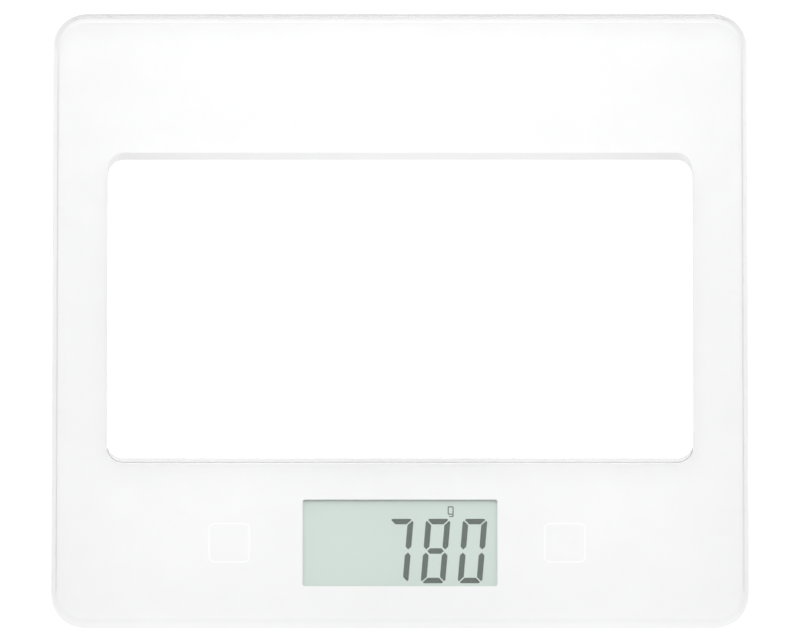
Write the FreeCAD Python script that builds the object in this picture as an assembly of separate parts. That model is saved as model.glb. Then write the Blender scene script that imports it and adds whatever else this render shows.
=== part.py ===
"""Slim kitchen scale: a clear glass frame plate on a thin plastic housing with four sprung feet.

Units are millimetres. The origin is on the table, under the middle of the plate: +X is to the
right of the person who reads the display, +Y is away from them, and +Z is up.
"""
import FreeCAD, Part
import math
import os

Vector = FreeCAD.Vector

# ---- driving dimensions -------------------------------------------------------------------
PLATE_WIDTH = 215.0
PLATE_DEPTH = 197.0
PLATE_THICKNESS = 8.0
PLATE_CORNER_RADIUS = 10.7
PLATE_EDGE_ROUND = 1.8          # polished arris of the outer rim
TOTAL_HEIGHT = 20.0

OPENING_WIDTH = 180.6
OPENING_FRONT = -45.6
OPENING_REAR = 53.0
OPENING_CORNER_RADIUS = 5.0
OPENING_EDGE_ROUND = 0.3

WINDOW_WIDTH = 60.0             # clear window in the print, over the display
WINDOW_DEPTH = 27.8
WINDOW_CORNER_RADIUS = 0.8
CONTROLS_Y = -71.4              # middle of the display and of the two touch keys
KEY_X = 51.7
KEY_SIZE = 12.9

PRINT_THICKNESS = 0.2
PRINT_INSET = 1.9               # print stops this far inside the outer edge of the glass
PRINT_OPENING_INSET = 0.3       # and this far from the edge of the opening
TAPE_THICKNESS = 0.5
WALL = 1.6
HOUSING_ROOF = 1.5
HOUSING_INSET = 5.0             # housing stands back from the outer edge of the glass
HOUSING_OPENING_INSET = 4.0     # and from the edge of the opening

COVER_UNDERSIDE = 2.4
COVER_THICKNESS = 1.6
COVER_LIP_THICKNESS = 1.0
COVER_LIP_HEIGHT = 1.5
COVER_LIP_GAP = 0.15

FOOT_X = 84.0
FOOT_FRONT_Y = -71.4
FOOT_REAR_Y = 75.2
FOOT_RADIUS = 11.0
FOOT_HOLE_GAP = 0.6
FOOT_PAD_RADIUS = 9.0
FOOT_PAD_THICKNESS = 1.8
FOOT_PAD_PROUD = 1.0            # the pad stands this far out of its cup

CELL_SIZE = 28.0                # square steel load cell with a tongue cut free in the middle
CELL_THICKNESS = 1.5
CELL_UNDERSIDE = 7.0
CELL_TONGUE = 12.0
CELL_SLOT = 2.0

BOARD_WIDTH = 120.0
BOARD_DEPTH = 35.0
BOARD_THICKNESS = 1.0
BOARD_UNDERSIDE = 5.6

DISPLAY_WIDTH = 64.0
DISPLAY_DEPTH = 31.8
DISPLAY_THICKNESS = 2.0
DISPLAY_RECESS = 1.0            # gap between the print and the face of the display

BATTERY_Y = 75.2
BATTERY_RADIUS = 10.0
BATTERY_THICKNESS = 3.2
BATTERY_UNDERSIDE = 5.75
DOOR_RADIUS = 14.0
DOOR_TABS = 3

SCREW_SHANK_RADIUS = 1.1
SCREW_HEAD_RADIUS = 2.2
SCREW_BOSS_RADIUS = 2.6
COVER_SCREW_POINTS = [(side * x, y) for side in (-1, 1)
                      for x, y in ((65.0, -58.0), (65.0, -87.0), (63.5, 64.0), (63.5, 87.0))]
BOARD_SCREW_POINTS = [(side * 41.0, y) for side in (-1, 1) for y in (-58.5, -84.5)]

LEAD_RADIUS = 0.6
LEAD_BEND = 2.0

# ---- levels worked out from the driving dimensions -----------------------------------------
GLASS_UNDERSIDE = TOTAL_HEIGHT - PLATE_THICKNESS
PRINT_UNDERSIDE = GLASS_UNDERSIDE - PRINT_THICKNESS
HOUSING_TOP = PRINT_UNDERSIDE - TAPE_THICKNESS
ROOF_UNDERSIDE = HOUSING_TOP - HOUSING_ROOF
COVER_TOP = COVER_UNDERSIDE + COVER_THICKNESS
CELL_TOP = CELL_UNDERSIDE + CELL_THICKNESS
BOARD_TOP = BOARD_UNDERSIDE + BOARD_THICKNESS
DISPLAY_TOP = PRINT_UNDERSIDE - DISPLAY_RECESS
DISPLAY_UNDERSIDE = DISPLAY_TOP - DISPLAY_THICKNESS
BATTERY_TOP = BATTERY_UNDERSIDE + BATTERY_THICKNESS

FEET = {
    "front_left": (-FOOT_X, FOOT_FRONT_Y),
    "front_right": (FOOT_X, FOOT_FRONT_Y),
    "rear_left": (-FOOT_X, FOOT_REAR_Y),
    "rear_right": (FOOT_X, FOOT_REAR_Y),
}


# ---- basic solids --------------------------------------------------------------------------
def block(low, high):
    """Axis-aligned box between two corners."""
    size = [high[axis] - low[axis] for axis in range(3)]
    return Part.makeBox(size[0], size[1], size[2], Vector(*low))


def disc(x, y, radius, z_low, z_high):
    """Upright cylinder."""
    return Part.makeCylinder(radius, z_high - z_low, Vector(x, y, z_low))


def centred_block(x, y, width, depth, z_low, z_high):
    """Box centred on a point of the plan."""
    return block((x - width / 2, y - depth / 2, z_low), (x + width / 2, y + depth / 2, z_high))


def slab(x_low, y_low, x_high, y_high, radius, z_low, z_high):
    """Flat block whose four upright edges are rounded."""
    solid = block((x_low, y_low, z_low), (x_high, y_high, z_high))
    upright = [edge for edge in solid.Edges
               if abs(edge.Vertexes[0].Z - edge.Vertexes[1].Z) > (z_high - z_low) / 2]
    return solid.makeFillet(radius, upright)


def plate_slab(inset, z_low, z_high):
    """The outline of the plate, moved inwards by inset."""
    half_width = PLATE_WIDTH / 2 - inset
    half_depth = PLATE_DEPTH / 2 - inset
    radius = max(PLATE_CORNER_RADIUS - inset, 1.0)
    return slab(-half_width, -half_depth, half_width, half_depth, radius, z_low, z_high)


def opening_slab(margin, z_low, z_high):
    """The outline of the opening, moved outwards by margin."""
    half_width = OPENING_WIDTH / 2 + margin
    radius = OPENING_CORNER_RADIUS + margin
    return slab(-half_width, OPENING_FRONT - margin, half_width, OPENING_REAR + margin,
                radius, z_low, z_high)


def frame_ring(inset, margin, z_low, z_high):
    """A ring with the plate's outline and the opening's outline."""
    hole = opening_slab(margin, z_low - 1.0, z_high + 1.0)
    return plate_slab(inset, z_low, z_high).cut(hole)


def plan_edges(solid, z):
    """Edges that lie flat in the plane at height z."""
    return [edge for edge in solid.Edges
            if all(abs(vertex.Z - z) < 1e-6 for vertex in edge.Vertexes)]


def route_tube(points, radius):
    """Tube along straight runs joined by tangent arcs."""
    corners = [Vector(*point) for point in points]
    edges = []
    start = corners[0]
    for before, corner, after in zip(corners, corners[1:], corners[2:]):
        arriving = (corner - before).normalize()
        leaving = (after - corner).normalize()
        half_turn = arriving.getAngle(leaving) / 2
        setback = LEAD_BEND * math.tan(half_turn)
        arc_start = corner - arriving * setback
        arc_end = corner + leaving * setback
        bisector = (leaving - arriving).normalize()
        arc_middle = corner + bisector * (LEAD_BEND / math.cos(half_turn) - LEAD_BEND)
        edges.append(Part.LineSegment(start, arc_start).toShape())
        edges.append(Part.Arc(arc_start, arc_middle, arc_end).toShape())
        start = arc_end
    edges.append(Part.LineSegment(start, corners[-1]).toShape())
    spine = Part.Wire(edges)
    section = Part.Wire(Part.makeCircle(radius, corners[0], corners[1] - corners[0]))
    return spine.makePipeShell([section], True, False)


def group(solids):
    """Several separate pieces of one kind."""
    return Part.makeCompound(solids)


# ---- glass plate and what is bonded under it -------------------------------------------------
def platform_glass():
    """Frame plate with polished edges, outside and round the opening."""
    outer = plate_slab(0.0, GLASS_UNDERSIDE, TOTAL_HEIGHT)
    rims = plan_edges(outer, TOTAL_HEIGHT) + plan_edges(outer, GLASS_UNDERSIDE)
    outer = outer.makeFillet(PLATE_EDGE_ROUND, rims)
    cut = outer.cut(opening_slab(0.0, GLASS_UNDERSIDE - 1.0, TOTAL_HEIGHT + 1.0))
    inner_rims = [edge for edge in plan_edges(cut, TOTAL_HEIGHT) + plan_edges(cut, GLASS_UNDERSIDE)
                  if abs(edge.CenterOfMass.x) < OPENING_WIDTH / 2 + 1.0
                  and OPENING_FRONT - 1.0 < edge.CenterOfMass.y < OPENING_REAR + 1.0]
    return cut.makeFillet(OPENING_EDGE_ROUND, inner_rims)


def printed_layer():
    """White print on the underside, left clear over the display."""
    layer = frame_ring(PRINT_INSET, PRINT_OPENING_INSET, PRINT_UNDERSIDE, GLASS_UNDERSIDE)
    window = slab(-WINDOW_WIDTH / 2, CONTROLS_Y - WINDOW_DEPTH / 2,
                  WINDOW_WIDTH / 2, CONTROLS_Y + WINDOW_DEPTH / 2, WINDOW_CORNER_RADIUS,
                  PRINT_UNDERSIDE - 1.0, GLASS_UNDERSIDE + 1.0)
    return layer.cut(window)


def bond_tape():
    """Die-cut foam tape between the print and the housing, open over the display and the keys."""
    tape = frame_ring(HOUSING_INSET + 0.8, HOUSING_OPENING_INSET + 0.8, HOUSING_TOP, PRINT_UNDERSIDE)
    tape = tape.cut(centred_block(0.0, CONTROLS_Y, DISPLAY_WIDTH + 8.0, DISPLAY_DEPTH + 5.0,
                                  HOUSING_TOP - 1.0, PRINT_UNDERSIDE + 1.0))
    for side in (-1, 1):
        tape = tape.cut(centred_block(side * KEY_X, CONTROLS_Y, KEY_SIZE + 1.2, KEY_SIZE + 1.2,
                                      HOUSING_TOP - 1.0, PRINT_UNDERSIDE + 1.0))
    return tape


# ---- housing -----------------------------------------------------------------------------------
def upper_housing():
    """Tray that hangs under the plate, open at the bottom, with bosses and cell seats."""
    shell = frame_ring(HOUSING_INSET, HOUSING_OPENING_INSET, COVER_TOP, HOUSING_TOP)
    room = frame_ring(HOUSING_INSET + WALL, HOUSING_OPENING_INSET + WALL,
                      COVER_TOP - 1.0, ROOF_UNDERSIDE)
    shell = shell.cut(room)
    shell = shell.cut(centred_block(0.0, CONTROLS_Y, DISPLAY_WIDTH + 0.6, DISPLAY_DEPTH + 0.6,
                                    ROOF_UNDERSIDE - 1.0, HOUSING_TOP + 1.0))
    for side in (-1, 1):
        shell = shell.cut(centred_block(side * KEY_X, CONTROLS_Y, KEY_SIZE + 0.4, KEY_SIZE + 0.4,
                                        ROOF_UNDERSIDE - 1.0, HOUSING_TOP + 1.0))
    additions = []
    for x, y in COVER_SCREW_POINTS:
        additions.append(disc(x, y, SCREW_BOSS_RADIUS, COVER_TOP, ROOF_UNDERSIDE + 0.5))
    for x, y in BOARD_SCREW_POINTS:
        additions.append(disc(x, y, SCREW_BOSS_RADIUS - 0.4, BOARD_TOP, ROOF_UNDERSIDE + 0.5))
    for x, y in FEET.values():
        additions.append(cell_seat(x, y, CELL_TOP, ROOF_UNDERSIDE + 0.5))
    shell = shell.multiFuse(additions)
    for x, y in COVER_SCREW_POINTS:
        shell = shell.cut(disc(x, y, SCREW_SHANK_RADIUS, COVER_TOP - 1.0, COVER_TOP + 5.0))
    for x, y in BOARD_SCREW_POINTS:
        shell = shell.cut(disc(x, y, SCREW_SHANK_RADIUS, BOARD_TOP - 1.0, BOARD_TOP + 3.0))
    return shell.removeSplitter()


def cell_seat(x, y, z_low, z_high):
    """Two ribs that bear on the side rails of a load cell."""
    ribs = []
    for side in (-1, 1):
        ribs.append(centred_block(x + side * (CELL_SIZE / 2 - 1.5), y, 2.0, CELL_SIZE - 4.0,
                                  z_low, z_high))
    return group(ribs)


def bottom_cover():
    """Underside panel with foot holes, screw wells, battery hatch and a lip inside the housing."""
    panel = frame_ring(HOUSING_INSET, HOUSING_OPENING_INSET, COVER_UNDERSIDE, COVER_TOP)
    rim = plan_edges(panel, COVER_UNDERSIDE)
    panel = panel.makeChamfer(0.5, rim)
    lip_inset = WALL + COVER_LIP_GAP
    lip = frame_ring(HOUSING_INSET + lip_inset, HOUSING_OPENING_INSET + lip_inset,
                     COVER_TOP, COVER_TOP + COVER_LIP_HEIGHT)
    lip = lip.cut(frame_ring(HOUSING_INSET + lip_inset + COVER_LIP_THICKNESS,
                             HOUSING_OPENING_INSET + lip_inset + COVER_LIP_THICKNESS,
                             COVER_TOP - 1.0, COVER_TOP + COVER_LIP_HEIGHT + 1.0))
    additions = [lip]
    for x, y in FEET.values():
        additions.append(cell_seat(x, y, COVER_TOP, CELL_UNDERSIDE))
    cover = panel.multiFuse(additions)
    for x, y in COVER_SCREW_POINTS:
        cover = cover.cut(disc(x, y, SCREW_BOSS_RADIUS + 0.2, COVER_TOP, COVER_TOP + 3.0))
        cover = cover.cut(disc(x, y, SCREW_SHANK_RADIUS + 0.1, 0.0, COVER_TOP + 1.0))
        cover = cover.cut(disc(x, y, SCREW_HEAD_RADIUS + 0.2, 0.0, COVER_UNDERSIDE + 1.0))
    for x, y in FEET.values():
        cover = cover.cut(disc(x, y, FOOT_RADIUS + FOOT_HOLE_GAP, 0.0, COVER_TOP + 1.0))
    return cut_battery_hatch(cover).removeSplitter()


def cut_battery_hatch(cover):
    """Round hatch with a seat for the door and a notch for each of its tabs."""
    cover = cover.cut(disc(0.0, BATTERY_Y, DOOR_RADIUS + 0.3, 0.0, COVER_UNDERSIDE + 0.8))
    cover = cover.cut(disc(0.0, BATTERY_Y, DOOR_RADIUS - 1.3, 0.0, COVER_TOP + 1.0))
    for number in range(DOOR_TABS):
        notch = door_tab(DOOR_RADIUS + 0.4, 5.0, COVER_UNDERSIDE, COVER_TOP + 1.0)
        notch.rotate(Vector(0.0, BATTERY_Y, 0.0), Vector(0, 0, 1),
                     60.0 + number * 360.0 / DOOR_TABS)
        cover = cover.cut(notch)
    return cover


def cover_screws():
    """Self-tapping screws with cross recesses, heads down."""
    screws = []
    for x, y in COVER_SCREW_POINTS:
        screws.append(screw(x, y, COVER_UNDERSIDE + 0.2, COVER_UNDERSIDE + 1.0, COVER_TOP + 4.6,
                            SCREW_HEAD_RADIUS))
    return group(screws)


def screw(x, y, head_low, head_high, tip, head_radius):
    """Pan-head screw that points up."""
    head = disc(x, y, head_radius, head_low, head_high)
    head = head.makeFillet(0.3, plan_edges(head, head_low))
    body = head.fuse(disc(x, y, SCREW_SHANK_RADIUS, head_high, tip - 0.6))
    body = body.fuse(Part.makeCone(SCREW_SHANK_RADIUS, 0.4, 0.6, Vector(x, y, tip - 0.6)))
    for width, depth in ((2.2, 0.5), (0.5, 2.2)):
        body = body.cut(centred_block(x, y, width, depth, head_low - 0.1, head_low + 0.45))
    return body.removeSplitter()


# ---- feet and load cells -----------------------------------------------------------------------
def load_cell(x, y):
    """Steel plate whose middle tongue is cut free on three sides, so that it can bend."""
    plate = slab(x - CELL_SIZE / 2, y - CELL_SIZE / 2, x + CELL_SIZE / 2, y + CELL_SIZE / 2,
                 2.0, CELL_UNDERSIDE, CELL_TOP)
    towards_opening = -1 if y > 0 else 1
    outer = CELL_TONGUE / 2 + CELL_SLOT
    for side in (-1, 1):
        plate = plate.cut(centred_block(x + side * (CELL_TONGUE / 2 + CELL_SLOT / 2), y,
                                        CELL_SLOT, 2 * outer,
                                        CELL_UNDERSIDE - 1.0, CELL_TOP + 1.0))
    end_y = y - towards_opening * (outer - CELL_SLOT / 2)
    plate = plate.cut(centred_block(x, end_y, 2 * outer, CELL_SLOT,
                                    CELL_UNDERSIDE - 1.0, CELL_TOP + 1.0))
    return plate


def strain_gauges():
    """One white-potted gauge on the root of each tongue."""
    pads = []
    for x, y in FEET.values():
        towards_opening = -1 if y > 0 else 1
        pads.append(centred_block(x, y + towards_opening * (CELL_TONGUE / 2 + 2.5), 8.0, 4.0,
                                  CELL_TOP, CELL_TOP + 0.6))
    return group(pads)


def foot_cup(x, y):
    """Foot that presses on the tongue of its load cell, with a well for the rubber pad."""
    shoulder = CELL_UNDERSIDE - 2.0
    cup = disc(x, y, FOOT_RADIUS, FOOT_PAD_PROUD, shoulder)
    cup = cup.makeFillet(0.6, plan_edges(cup, FOOT_PAD_PROUD))
    cup = cup.fuse(disc(x, y, CELL_TONGUE / 2 - 1.2, shoulder, CELL_UNDERSIDE))
    return cup.cut(disc(x, y, FOOT_PAD_RADIUS + 0.1, 0.0, FOOT_PAD_THICKNESS)).removeSplitter()


def foot_pad(x, y):
    """Rubber pad with three rings pressed into its underside."""
    pad = disc(x, y, FOOT_PAD_RADIUS, 0.0, FOOT_PAD_THICKNESS)
    pad = pad.makeFillet(0.4, plan_edges(pad, 0.0))
    for radius in (2.5, 4.5, 6.5):
        groove = disc(x, y, radius + 0.3, -1.0, 0.3).cut(disc(x, y, radius - 0.3, -1.0, 0.3))
        pad = pad.cut(groove)
    return pad


# ---- electronics -------------------------------------------------------------------------------
def main_board():
    """Circuit board across the front rail."""
    board = slab(-BOARD_WIDTH / 2, CONTROLS_Y - BOARD_DEPTH / 2, BOARD_WIDTH / 2,
                 CONTROLS_Y + BOARD_DEPTH / 2, 1.5, BOARD_UNDERSIDE, BOARD_TOP)
    for x, y in BOARD_SCREW_POINTS:
        board = board.cut(disc(x, y, SCREW_SHANK_RADIUS + 0.2, 0.0, TOTAL_HEIGHT))
    return board


def board_screws():
    """Screws that hold the board up against its bosses."""
    screws = []
    for x, y in BOARD_SCREW_POINTS:
        screws.append(screw(x, y, BOARD_UNDERSIDE - 0.9, BOARD_UNDERSIDE, BOARD_TOP + 2.6,
                            SCREW_HEAD_RADIUS - 0.2))
    return group(screws)


def controller_chip():
    """Flat package under the board."""
    chip = centred_block(-14.0, CONTROLS_Y, 10.0, 10.0, BOARD_UNDERSIDE - 1.2, BOARD_UNDERSIDE)
    return chip.makeChamfer(0.2, plan_edges(chip, BOARD_UNDERSIDE - 1.2))


def board_components():
    """Small parts in two rows under the board."""
    parts = []
    for column in range(6):
        x = 2.0 + column * 5.0
        parts.append(centred_block(x, CONTROLS_Y + 5.0, 2.0, 1.25,
                                   BOARD_UNDERSIDE - 0.7, BOARD_UNDERSIDE))
        parts.append(centred_block(x, CONTROLS_Y - 5.0, 3.2, 1.6,
                                   BOARD_UNDERSIDE - 0.9, BOARD_UNDERSIDE))
    return group(parts)


def display_panel():
    """Liquid-crystal cell: a wide lower glass with a shorter upper glass on it."""
    lower = centred_block(0.0, CONTROLS_Y, DISPLAY_WIDTH, DISPLAY_DEPTH,
                          DISPLAY_UNDERSIDE, DISPLAY_UNDERSIDE + DISPLAY_THICKNESS / 2)
    upper = centred_block(0.0, CONTROLS_Y, DISPLAY_WIDTH - 1.0, DISPLAY_DEPTH - 1.6,
                          DISPLAY_UNDERSIDE + DISPLAY_THICKNESS / 2, DISPLAY_TOP)
    return lower.fuse(upper)


def display_holder():
    """Frame on the board that carries the display and guides the contact strip."""
    top = ROOF_UNDERSIDE - 0.2
    frame = centred_block(0.0, CONTROLS_Y, DISPLAY_WIDTH + 5.0, BOARD_DEPTH - 0.4, BOARD_TOP, top)
    frame = frame.cut(centred_block(0.0, CONTROLS_Y, DISPLAY_WIDTH + 0.3, DISPLAY_DEPTH + 0.3,
                                    DISPLAY_UNDERSIDE, top + 1.0))
    return frame.cut(centred_block(0.0, CONTROLS_Y, DISPLAY_WIDTH - 4.0, DISPLAY_DEPTH - 3.0,
                                   BOARD_TOP - 1.0, top))


def contact_strip():
    """Striped rubber connector between the board and the display."""
    y = CONTROLS_Y - DISPLAY_DEPTH / 2 + 3.0
    return centred_block(0.0, y, DISPLAY_WIDTH - 6.0, 2.2, BOARD_TOP, DISPLAY_UNDERSIDE)


def display_gasket():
    """Foam frame that closes the gap between the display and the print."""
    gasket = centred_block(0.0, CONTROLS_Y, DISPLAY_WIDTH + 3.0, DISPLAY_DEPTH + 3.0,
                           HOUSING_TOP, PRINT_UNDERSIDE)
    return gasket.cut(centred_block(0.0, CONTROLS_Y, WINDOW_WIDTH + 0.8, WINDOW_DEPTH + 0.8,
                                    HOUSING_TOP - 1.0, PRINT_UNDERSIDE + 1.0))


def touch_pad(side):
    """Conductive foam post from the board to the underside of one touch key."""
    return centred_block(side * KEY_X, CONTROLS_Y, KEY_SIZE - 1.0, KEY_SIZE - 1.0,
                         BOARD_TOP, PRINT_UNDERSIDE)


# ---- battery -----------------------------------------------------------------------------------
def coin_cell():
    """Button battery: a can with a smaller cap on top."""
    step = BATTERY_UNDERSIDE + 2.7
    can = disc(0.0, BATTERY_Y, BATTERY_RADIUS, BATTERY_UNDERSIDE, step)
    can = can.makeFillet(0.4, plan_edges(can, BATTERY_UNDERSIDE))
    return can.fuse(disc(0.0, BATTERY_Y, BATTERY_RADIUS - 1.2, step, BATTERY_TOP))


def battery_holder():
    """Round pocket under the housing's roof, with a gap for each contact."""
    pocket_roof = BATTERY_TOP + 0.4
    holder = disc(0.0, BATTERY_Y, BATTERY_RADIUS + 3.0, BATTERY_UNDERSIDE - 0.1, ROOF_UNDERSIDE)
    holder = holder.cut(disc(0.0, BATTERY_Y, BATTERY_RADIUS + 0.5, 0.0, pocket_roof))
    for side in (-1, 1):
        low_x = min(side * (BATTERY_RADIUS - 2.0), side * (BATTERY_RADIUS + 4.0))
        holder = holder.cut(block((low_x, BATTERY_Y - 2.4, 0.0),
                                  (low_x + 6.0, BATTERY_Y + 2.4, pocket_roof)))
    return holder


def positive_contact():
    """Strip that presses on the side of the can and leaves to the left."""
    upright = block((-BATTERY_RADIUS - 0.35, BATTERY_Y - 2.0, BATTERY_UNDERSIDE + 0.2),
                    (-BATTERY_RADIUS - 0.05, BATTERY_Y + 2.0, BATTERY_TOP))
    tail = block((-BATTERY_RADIUS - 6.0, BATTERY_Y - 2.0, BATTERY_TOP),
                 (-BATTERY_RADIUS - 0.05, BATTERY_Y + 2.0, BATTERY_TOP + 0.3))
    return upright.fuse(tail).removeSplitter()


def negative_contact():
    """Strip that lies on the cap of the battery and leaves to the right."""
    return block((-4.0, BATTERY_Y - 2.0, BATTERY_TOP),
                 (BATTERY_RADIUS + 6.0, BATTERY_Y + 2.0, BATTERY_TOP + 0.3))


def door_tab(radius, width, z_low, z_high):
    """Radial block out to a radius, with a round end, before it is turned to its place."""
    bar = block((0.0, BATTERY_Y - width / 2, z_low), (radius + 5.0, BATTERY_Y + width / 2, z_high))
    return bar.common(disc(0.0, BATTERY_Y, radius, z_low, z_high))


def battery_door():
    """Quarter-turn lid with a coin slot below and locking tabs above the cover."""
    flange_top = COVER_UNDERSIDE + 0.7
    plug_top = BATTERY_UNDERSIDE - 0.3
    lid = disc(0.0, BATTERY_Y, DOOR_RADIUS, COVER_UNDERSIDE, flange_top)
    lid = lid.makeFillet(0.3, plan_edges(lid, COVER_UNDERSIDE))
    solids = [disc(0.0, BATTERY_Y, DOOR_RADIUS - 1.6, flange_top, plug_top)]
    for number in range(DOOR_TABS):
        tab = door_tab(DOOR_RADIUS - 0.1, 4.2, COVER_TOP + 0.2, plug_top)
        tab.rotate(Vector(0.0, BATTERY_Y, 0.0), Vector(0, 0, 1), number * 360.0 / DOOR_TABS)
        solids.append(tab)
    lid = lid.multiFuse(solids)
    slot = slab(-8.0, BATTERY_Y - 1.1, 8.0, BATTERY_Y + 1.1, 1.0, 0.0, COVER_UNDERSIDE + 1.4)
    return lid.cut(slot).removeSplitter()


# ---- leads -------------------------------------------------------------------------------------
def rail_corners(side, clearance):
    """Plan points where a lead turns into and out of the channel of one side rail."""
    channel_x = (OPENING_WIDTH / 2 + HOUSING_OPENING_INSET + PLATE_WIDTH / 2 - HOUSING_INSET) / 2
    rear_y = OPENING_REAR + HOUSING_OPENING_INSET + WALL + clearance
    front_y = OPENING_FRONT - HOUSING_OPENING_INSET - WALL - clearance
    return side * channel_x, rear_y, front_y


def cell_leads():
    """One lead from each load cell to the end of the board."""
    z = BOARD_TOP - LEAD_RADIUS - 0.1
    board_end = BOARD_WIDTH / 2 + LEAD_RADIUS
    gap_x = (BOARD_WIDTH / 2 + FOOT_X - FOOT_RADIUS) / 2 + 3.0
    leads = []
    for side in (-1, 1):
        channel_x, rear_y, front_y = rail_corners(side, COVER_LIP_THICKNESS + 1.2)
        leads.append(route_tube([
            (side * (FOOT_X - 6.0), rear_y, z),
            (channel_x, rear_y, z),
            (channel_x, front_y, z),
            (side * board_end, front_y, z),
            (side * board_end, front_y - 6.0, z),
        ], LEAD_RADIUS))
        leads.append(route_tube([
            (side * (FOOT_X - 10.0), front_y - 3.0, z),
            (side * gap_x, front_y - 3.0, z),
            (side * gap_x, CONTROLS_Y, z),
            (side * board_end, CONTROLS_Y, z),
        ], LEAD_RADIUS))
    return group(leads)


def battery_leads():
    """Two leads from the battery contacts, one down each side rail, to the top of the board."""
    start_z = BATTERY_TOP - LEAD_RADIUS
    z = BOARD_TOP + LEAD_RADIUS
    leads = []
    for side in (-1, 1):
        channel_x, rear_y, front_y = rail_corners(side, 1.2)
        leads.append(route_tube([
            (side * (BATTERY_RADIUS + 4.5), BATTERY_Y, start_z),
            (side * 30.0, BATTERY_Y, start_z),
            (side * 45.0, rear_y, z),
            (channel_x, rear_y, z),
            (channel_x, front_y, z),
            (side * (BOARD_WIDTH / 2 - 4.0), front_y, z),
            (side * (BOARD_WIDTH / 2 - 4.0), front_y - 5.0, z),
        ], LEAD_RADIUS))
    return group(leads)


# ---- assembly ----------------------------------------------------------------------------------
def all_nodes():
    """Every node's name and its shape."""
    nodes = {
        "platform_glass": platform_glass(),
        "printed_layer": printed_layer(),
        "bond_tape": bond_tape(),
        "upper_housing": upper_housing(),
        "bottom_cover": bottom_cover(),
        "cover_screws": cover_screws(),
        "strain_gauges": strain_gauges(),
        "main_board": main_board(),
        "board_screws": board_screws(),
        "controller_chip": controller_chip(),
        "board_components": board_components(),
        "display_panel": display_panel(),
        "display_holder": display_holder(),
        "display_gasket": display_gasket(),
        "contact_strip": contact_strip(),
        "touch_pad_left": touch_pad(-1),
        "touch_pad_right": touch_pad(1),
        "coin_cell": coin_cell(),
        "battery_holder": battery_holder(),
        "positive_contact": positive_contact(),
        "negative_contact": negative_contact(),
        "battery_door": battery_door(),
        "cell_leads": cell_leads(),
        "battery_leads": battery_leads(),
    }
    for corner, (x, y) in FEET.items():
        nodes["load_cell_" + corner] = load_cell(x, y)
        nodes["foot_cup_" + corner] = foot_cup(x, y)
        nodes["foot_pad_" + corner] = foot_pad(x, y)
    return nodes


os.makedirs("parts", exist_ok=True)
for name, shape in all_nodes().items():
    shape.exportStep("parts/" + name + ".step")
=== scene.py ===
"""Looks of the slim kitchen scale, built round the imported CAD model. Lengths are in metres."""
import math

import bmesh
import bpy
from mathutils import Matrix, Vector


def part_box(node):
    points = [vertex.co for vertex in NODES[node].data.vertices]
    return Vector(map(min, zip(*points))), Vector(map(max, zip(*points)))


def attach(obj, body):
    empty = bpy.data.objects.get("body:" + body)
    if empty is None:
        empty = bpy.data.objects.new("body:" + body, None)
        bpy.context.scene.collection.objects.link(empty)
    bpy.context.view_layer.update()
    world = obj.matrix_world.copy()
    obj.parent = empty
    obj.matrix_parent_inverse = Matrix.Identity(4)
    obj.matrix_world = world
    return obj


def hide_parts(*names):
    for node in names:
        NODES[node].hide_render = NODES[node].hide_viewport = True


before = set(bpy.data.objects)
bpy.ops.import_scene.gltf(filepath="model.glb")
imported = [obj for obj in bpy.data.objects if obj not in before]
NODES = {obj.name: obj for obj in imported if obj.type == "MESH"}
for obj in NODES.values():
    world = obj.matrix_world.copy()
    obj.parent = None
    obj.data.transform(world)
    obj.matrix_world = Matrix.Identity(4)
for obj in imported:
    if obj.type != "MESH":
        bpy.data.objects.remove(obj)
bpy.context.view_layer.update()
SCALE_BODY = "scale_body"
LID_BODY = "battery_lid"
MM = 0.001

# ---- places read from the imported CAD model ------------------------------------------------
GLASS_LOW, GLASS_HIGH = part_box("platform_glass")
PRINT_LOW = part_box("printed_layer")[0]
DISPLAY_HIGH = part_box("display_panel")[1]
KEY_PADS = {"left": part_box("touch_pad_left"), "right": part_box("touch_pad_right")}
COVER_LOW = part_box("bottom_cover")[0]
DOOR_LOW, DOOR_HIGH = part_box("battery_door")

# ---- sizes of the plate, as in the CAD model ----------------------------------------------------
PLATE_CORNER = 10.7 * MM
OPENING_LOW = Vector((-90.3, -45.6)) * MM
OPENING_HIGH = Vector((90.3, 53.0)) * MM
OPENING_CORNER = 5.0 * MM
RIM_ROUND = 1.8 * MM
OPENING_ROUND = 0.3 * MM
EMBED = 0.1 * MM                # how far the print sits inside the glass
WALL_SKIN = 0.06 * MM           # ground skin of the opening's wall, into the glass
WALL_PROUD = 0.01 * MM          # and clear of the glass
CORNER_STEPS = 24
ROUND_STEPS = 12
OUTLINE_STEPS = 8
FLAT_MARGIN = 0.3 * MM          # flat strip beside each rounded arris, so the faces shade flat

CAMERA_ELEVATION = 73.0         # degrees above the table
CAMERA_DISTANCE = 8.2
CAMERA_LENS = 1195.0
AIM_HEIGHT = 0.016


# ---- mesh helpers ---------------------------------------------------------------------------
def add_mesh(name, bm, material, body, smooth=True):
    """Turns a bmesh into a piece of the object."""
    bmesh.ops.recalc_face_normals(bm, faces=bm.faces)
    mesh = bpy.data.meshes.new(name)
    bm.to_mesh(mesh)
    bm.free()
    for polygon in mesh.polygons:
        polygon.use_smooth = smooth
    mesh.materials.append(material)
    piece = bpy.data.objects.new(name, mesh)
    bpy.context.scene.collection.objects.link(piece)
    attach(piece, body)
    return piece


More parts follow.
